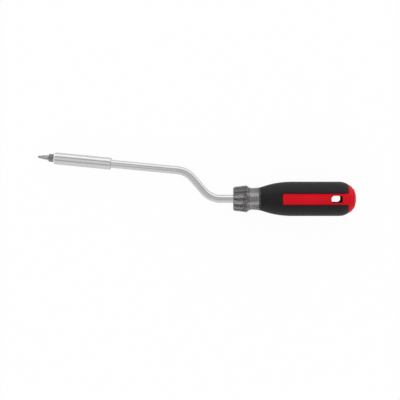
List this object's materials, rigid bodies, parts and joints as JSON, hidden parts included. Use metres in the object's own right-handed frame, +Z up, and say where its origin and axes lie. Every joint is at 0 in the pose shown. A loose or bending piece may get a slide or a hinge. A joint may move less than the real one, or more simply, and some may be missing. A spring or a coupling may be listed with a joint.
{
  "type": "cranked multi-bit screwdriver",
  "caption": "Cranked screwdriver with a reversible double-ended hex bit, a free-spinning steel sleeve, a bent plated shank and a moulded soft-grip handle with a lanyard hole.",
  "frame": {"origin": "on the bench under the middle of the tool's box, with the tool lying flat", "axes": "+X to the butt of the handle, +Y to the offset side of the crank, +Z up from the bench"},
  "size_m": [0.2996, 0.06, 0.0335],
  "materials": {
    "bit_steel": "dark phosphated",
    "socket_steel": "machined and plated",
    "spring_steel": "drawn wire",
    "sleeve_chrome": "polished plate",
    "shank_chrome": "polished plate",
    "smoke_plastic": "glossy, smoke-grey, translucent",
    "red_plastic": "satin gloss moulded",
    "black_grip": "satin soft overmould"
  },
  "bodies": {
    "handle": {"shank": "shank_chrome", "bit_socket": "socket_steel", "bit_retaining_ring": "spring_steel", "sleeve_retaining_ring": "spring_steel", "handle_core": "smoke_plastic", "handle_body": "red_plastic", "soft_grip": "black_grip"},
    "sleeve": {"spinning_sleeve": "sleeve_chrome"},
    "bit": {"screwdriver_bit": "bit_steel"}
  },
  "joints": [
    {"name": "sleeve_spin", "type": "hinge", "parent": "handle", "child": "sleeve", "pos_m": [-0.10701, 0.02176, 0.00693], "axis": [-0.9942, 0.0967, -0.0465], "continuous": true},
    {"name": "bit_pull", "type": "slide", "parent": "handle", "child": "bit", "axis": [-0.9942, 0.0967, -0.0465], "range_m": [0, 0.04], "deforming": ["bit_retaining_ring"]}
  ]
}
